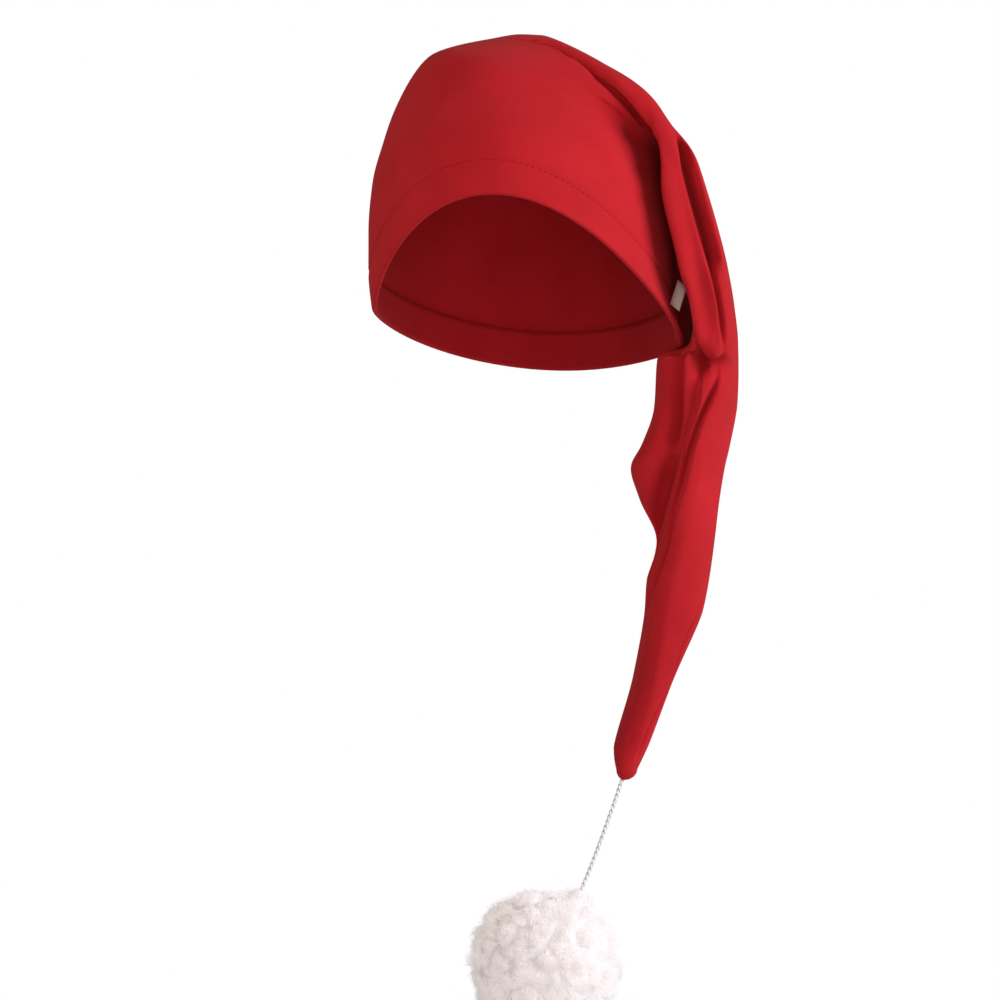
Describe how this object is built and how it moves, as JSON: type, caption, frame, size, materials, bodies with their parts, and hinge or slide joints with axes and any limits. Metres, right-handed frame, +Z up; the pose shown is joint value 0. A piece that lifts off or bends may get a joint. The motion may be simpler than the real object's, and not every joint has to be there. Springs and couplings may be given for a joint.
{
  "type": "santa hat",
  "caption": "Long stocking-type santa hat of red jersey, worn form: round crown with a plain hem, tail flopped over one side, and a white pompom hanging on a cord from the tip.",
  "frame": {"origin": "centre of the head opening, where the hat sits on a head", "axes": "+Z up, -Y the way the wearer faces, +X towards the side where the tail hangs"},
  "size_m": [0.2097, 0.2012, 0.559],
  "materials": {
    "red_jersey": "soft brushed jersey knit, matt with a faint sheen",
    "label_tape": "smooth woven tape, blank",
    "white_cord": "twisted soft yarn",
    "white_pile": "long soft pile"
  },
  "bodies": {
    "root": {"hat_body": "red_jersey", "care_label": "label_tape", "pompom_cord": "white_cord", "pompom": "white_pile"}
  },
  "joints": []
}
